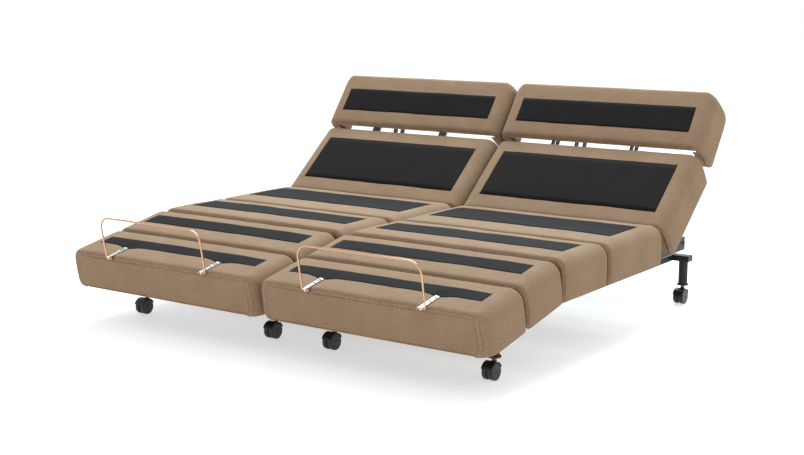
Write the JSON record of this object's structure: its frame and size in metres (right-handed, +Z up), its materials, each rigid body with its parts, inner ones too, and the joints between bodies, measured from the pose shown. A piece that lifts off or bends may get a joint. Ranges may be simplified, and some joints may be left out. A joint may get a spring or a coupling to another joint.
{
  "type": "adjustable bed base",
  "caption": "Split pair of motorised bed bases on casters, with hinged upholstered deck panels, folding mattress retainer bars and painted steel frames.",
  "frame": {"origin": "on the floor under the middle of the pair's footprint", "axes": "+X across the pair, +Y from foot to head along the bed, +Z up"},
  "size_m": [1.923, 1.9817, 0.8807],
  "materials": {
    "upholstery_fabric": "matte",
    "grip_patch": "matte",
    "frame_paint": "satin",
    "zinc_plate": "satin",
    "retainer_wire": "polished",
    "rod_chrome": "polished",
    "actuator_plastic": "matte",
    "control_plastic": "matte",
    "cap_plastic": "satin",
    "caster_plastic": "satin",
    "wheel_nylon": "satin",
    "brass_collar": "satin"
  },
  "bodies": {
    "base": {"left_frame": "frame_paint", "right_frame": "frame_paint", "leg_tubes": "frame_paint", "leg_end_caps": "cap_plastic", "deck_bolts": "zinc_plate", "control_boxes": "control_plastic", "left_seat_panel": "upholstery_fabric", "right_seat_panel": "upholstery_fabric", "left_head_actuator": "actuator_plastic", "right_head_actuator": "actuator_plastic", "left_leg_actuator": "actuator_plastic", "right_leg_actuator": "actuator_plastic"},
    "left_back": {"left_back_panel": "upholstery_fabric", "left_back_frame": "frame_paint", "left_pillow_actuator": "actuator_plastic"},
    "left_pillow": {"left_pillow_panel": "upholstery_fabric", "left_pillow_frame": "frame_paint"},
    "left_thigh": {"left_thigh_panel": "upholstery_fabric", "left_thigh_frame": "frame_paint"},
    "left_cradle": {"left_leg_cradle": "frame_paint"},
    "left_lower_leg": {"left_calf_panel": "upholstery_fabric", "left_foot_panel": "upholstery_fabric", "left_leg_frame": "frame_paint", "left_retainer_brackets": "zinc_plate"},
    "left_retainer": {"left_retainer_bar": "retainer_wire"},
    "left_head_piston": {"left_head_rod": "rod_chrome"},
    "left_leg_piston": {"left_leg_rod": "rod_chrome"},
    "left_pillow_piston": {"left_pillow_rod": "rod_chrome"},
    "left_swivel_foot_outer": {"left_caster_foot_outer": "caster_plastic"},
    "left_roll_foot_outer": {"left_wheels_foot_outer": "wheel_nylon"},
    "left_swivel_foot_inner": {"left_caster_foot_inner": "caster_plastic"},
    "left_roll_foot_inner": {"left_wheels_foot_inner": "wheel_nylon"},
    "left_swivel_head_outer": {"left_caster_head_outer": "caster_plastic"},
    "left_roll_head_outer": {"left_wheels_head_outer": "wheel_nylon"},
    "left_swivel_head_inner": {"left_caster_head_inner": "caster_plastic"},
    "left_roll_head_inner": {"left_wheels_head_inner": "wheel_nylon"},
    "right_back": {"right_back_panel": "upholstery_fabric", "right_back_frame": "frame_paint", "right_pillow_actuator": "actuator_plastic"},
    "right_pillow": {"right_pillow_panel": "upholstery_fabric", "right_pillow_frame": "frame_paint"},
    "right_thigh": {"right_thigh_panel": "upholstery_fabric", "right_thigh_frame": "frame_paint"},
    "right_cradle": {"right_leg_cradle": "frame_paint"},
    "right_lower_leg": {"right_calf_panel": "upholstery_fabric", "right_foot_panel": "upholstery_fabric", "right_leg_frame": "frame_paint", "right_retainer_brackets": "zinc_plate"},
    "right_retainer": {"right_retainer_bar": "retainer_wire"},
    "right_head_piston": {"right_head_rod": "rod_chrome"},
    "right_leg_piston": {"right_leg_rod": "rod_chrome"},
    "right_pillow_piston": {"right_pillow_rod": "rod_chrome"},
    "right_swivel_foot_outer": {"right_caster_foot_outer": "caster_plastic"},
    "right_roll_foot_outer": {"right_wheels_foot_outer": "wheel_nylon"},
    "right_swivel_foot_inner": {"right_caster_foot_inner": "caster_plastic"},
    "right_roll_foot_inner": {"right_wheels_foot_inner": "wheel_nylon"},
    "right_swivel_head_outer": {"right_caster_head_outer": "caster_plastic"},
    "right_roll_head_outer": {"right_wheels_head_outer": "wheel_nylon"},
    "right_swivel_head_inner": {"right_caster_head_inner": "caster_plastic"},
    "right_roll_head_inner": {"right_wheels_head_inner": "wheel_nylon"}
  },
  "joints": [
    {"name": "left_back_lift", "type": "hinge", "parent": "base", "child": "left_back", "pos_m": [-0.4825, 0.3984, 0.36], "axis": [1, 0, 0], "range_deg": [-39, 26]},
    {"name": "left_pillow_tilt", "type": "hinge", "parent": "left_back", "child": "left_pillow", "pos_m": [-0.4825, 0.68022, 0.55735], "axis": [1, 0, 0], "range_deg": [-14.5, 11]},
    {"name": "left_thigh_lift", "type": "hinge", "parent": "base", "child": "left_thigh", "pos_m": [-0.4825, -0.0916, 0.365], "axis": [-1, 0, 0], "range_deg": [0, 35]},
    {"name": "left_knee_bend", "type": "hinge", "parent": "left_thigh", "child": "left_cradle", "pos_m": [-0.4825, -0.4296, 0.23], "axis": [1, 0, 0], "range_deg": [0, 42.5]},
    {"name": "left_leg_level", "type": "hinge", "parent": "left_cradle", "child": "left_lower_leg", "pos_m": [-0.4825, -0.4296, 0.23], "axis": [-1, 0, 0], "range_deg": [0, 11]},
    {"name": "left_retainer_fold", "type": "hinge", "parent": "left_lower_leg", "child": "left_retainer", "pos_m": [-0.4825, -0.95586, 0.28543], "axis": [-1, 0, 0], "range_deg": [0, 50]},
    {"name": "left_head_piston_slide", "type": "slide", "parent": "base", "child": "left_head_piston", "axis": [0, 1, 0], "range_m": [-0.06, 0.04]},
    {"name": "left_leg_piston_slide", "type": "slide", "parent": "base", "child": "left_leg_piston", "axis": [0, -1, 0], "range_m": [0, 0.054]},
    {"name": "left_pillow_piston_slide", "type": "slide", "parent": "left_back", "child": "left_pillow_piston", "axis": [0, 0.7771, 0.6293], "range_m": [-0.0152, 0.0114]},
    {"name": "left_swivel_turn_foot_outer", "type": "hinge", "parent": "base", "child": "left_swivel_foot_outer", "pos_m": [-0.8245, -0.6666, 0.07], "axis": [0, 0, 1], "continuous": true},
    {"name": "left_wheel_roll_foot_outer", "type": "hinge", "parent": "left_swivel_foot_outer", "child": "left_roll_foot_outer", "pos_m": [-0.8245, -0.6846, 0.03], "axis": [1, 0, 0], "continuous": true},
    {"name": "left_swivel_turn_foot_inner", "type": "hinge", "parent": "base", "child": "left_swivel_foot_inner", "pos_m": [-0.1405, -0.6666, 0.07], "axis": [0, 0, 1], "continuous": true},
    {"name": "left_wheel_roll_foot_inner", "type": "hinge", "parent": "left_swivel_foot_inner", "child": "left_roll_foot_inner", "pos_m": [-0.1405, -0.6846, 0.03], "axis": [1, 0, 0], "continuous": true},
    {"name": "left_swivel_turn_head_outer", "type": "hinge", "parent": "base", "child": "left_swivel_head_outer", "pos_m": [-0.8795, 0.7604, 0.07], "axis": [0, 0, 1], "continuous": true},
    {"name": "left_wheel_roll_head_outer", "type": "hinge", "parent": "left_swivel_head_outer", "child": "left_roll_head_outer", "pos_m": [-0.8795, 0.7424, 0.03], "axis": [1, 0, 0], "continuous": true},
    {"name": "left_swivel_turn_head_inner", "type": "hinge", "parent": "base", "child": "left_swivel_head_inner", "pos_m": [-0.0855, 0.7604, 0.07], "axis": [0, 0, 1], "continuous": true},
    {"name": "left_wheel_roll_head_inner", "type": "hinge", "parent": "left_swivel_head_inner", "child": "left_roll_head_inner", "pos_m": [-0.0855, 0.7424, 0.03], "axis": [1, 0, 0], "continuous": true},
    {"name": "right_back_lift", "type": "hinge", "parent": "base", "child": "right_back", "pos_m": [0.4825, 0.3984, 0.36], "axis": [1, 0, 0], "range_deg": [-39, 26]},
    {"name": "right_pillow_tilt", "type": "hinge", "parent": "right_back", "child": "right_pillow", "pos_m": [0.4825, 0.68022, 0.55735], "axis": [1, 0, 0], "range_deg": [-14.5, 11]},
    {"name": "right_thigh_lift", "type": "hinge", "parent": "base", "child": "right_thigh", "pos_m": [0.4825, -0.0916, 0.365], "axis": [-1, 0, 0], "range_deg": [0, 35]},
    {"name": "right_knee_bend", "type": "hinge", "parent": "right_thigh", "child": "right_cradle", "pos_m": [0.4825, -0.4296, 0.23], "axis": [1, 0, 0], "range_deg": [0, 42.5]},
    {"name": "right_leg_level", "type": "hinge", "parent": "right_cradle", "child": "right_lower_leg", "pos_m": [0.4825, -0.4296, 0.23], "axis": [-1, 0, 0], "range_deg": [0, 11]},
    {"name": "right_retainer_fold", "type": "hinge", "parent": "right_lower_leg", "child": "right_retainer", "pos_m": [0.4825, -0.95586, 0.28543], "axis": [-1, 0, 0], "range_deg": [0, 50]},
    {"name": "right_head_piston_slide", "type": "slide", "parent": "base", "child": "right_head_piston", "axis": [0, 1, 0], "range_m": [-0.06, 0.04]},
    {"name": "right_leg_piston_slide", "type": "slide", "parent": "base", "child": "right_leg_piston", "axis": [0, -1, 0], "range_m": [0, 0.054]},
    {"name": "right_pillow_piston_slide", "type": "slide", "parent": "right_back", "child": "right_pillow_piston", "axis": [0, 0.7771, 0.6293], "range_m": [-0.0152, 0.0114]},
    {"name": "right_swivel_turn_foot_outer", "type": "hinge", "parent": "base", "child": "right_swivel_foot_outer", "pos_m": [0.8245, -0.6666, 0.07], "axis": [0, 0, 1], "continuous": true},
    {"name": "right_wheel_roll_foot_outer", "type": "hinge", "parent": "right_swivel_foot_outer", "child": "right_roll_foot_outer", "pos_m": [0.8245, -0.6846, 0.03], "axis": [1, 0, 0], "continuous": true},
    {"name": "right_swivel_turn_foot_inner", "type": "hinge", "parent": "base", "child": "right_swivel_foot_inner", "pos_m": [0.1405, -0.6666, 0.07], "axis": [0, 0, 1], "continuous": true},
    {"name": "right_wheel_roll_foot_inner", "type": "hinge", "parent": "right_swivel_foot_inner", "child": "right_roll_foot_inner", "pos_m": [0.1405, -0.6846, 0.03], "axis": [1, 0, 0], "continuous": true},
    {"name": "right_swivel_turn_head_outer", "type": "hinge", "parent": "base", "child": "right_swivel_head_outer", "pos_m": [0.8795, 0.7604, 0.07], "axis": [0, 0, 1], "continuous": true},
    {"name": "right_wheel_roll_head_outer", "type": "hinge", "parent": "right_swivel_head_outer", "child": "right_roll_head_outer", "pos_m": [0.8795, 0.7424, 0.03], "axis": [1, 0, 0], "continuous": true},
    {"name": "right_swivel_turn_head_inner", "type": "hinge", "parent": "base", "child": "right_swivel_head_inner", "pos_m": [0.0855, 0.7604, 0.07], "axis": [0, 0, 1], "continuous": true},
    {"name": "right_wheel_roll_head_inner", "type": "hinge", "parent": "right_swivel_head_inner", "child": "right_roll_head_inner", "pos_m": [0.0855, 0.7424, 0.03], "axis": [1, 0, 0], "continuous": true}
  ],
  "couplings": [
    {"joint": "left_knee_bend", "follows": "left_thigh_lift", "ratio": 1.2},
    {"joint": "left_head_piston_slide", "follows": "left_back_lift", "m_per_rad": 0.0875},
    {"joint": "left_leg_piston_slide", "follows": "left_thigh_lift", "m_per_rad": 0.0877},
    {"joint": "left_pillow_piston_slide", "follows": "left_pillow_tilt", "m_per_rad": 0.0588},
    {"joint": "right_knee_bend", "follows": "right_thigh_lift", "ratio": 1.2},
    {"joint": "right_head_piston_slide", "follows": "right_back_lift", "m_per_rad": 0.0875},
    {"joint": "right_leg_piston_slide", "follows": "right_thigh_lift", "m_per_rad": 0.0877},
    {"joint": "right_pillow_piston_slide", "follows": "right_pillow_tilt", "m_per_rad": 0.0588}
  ]
}
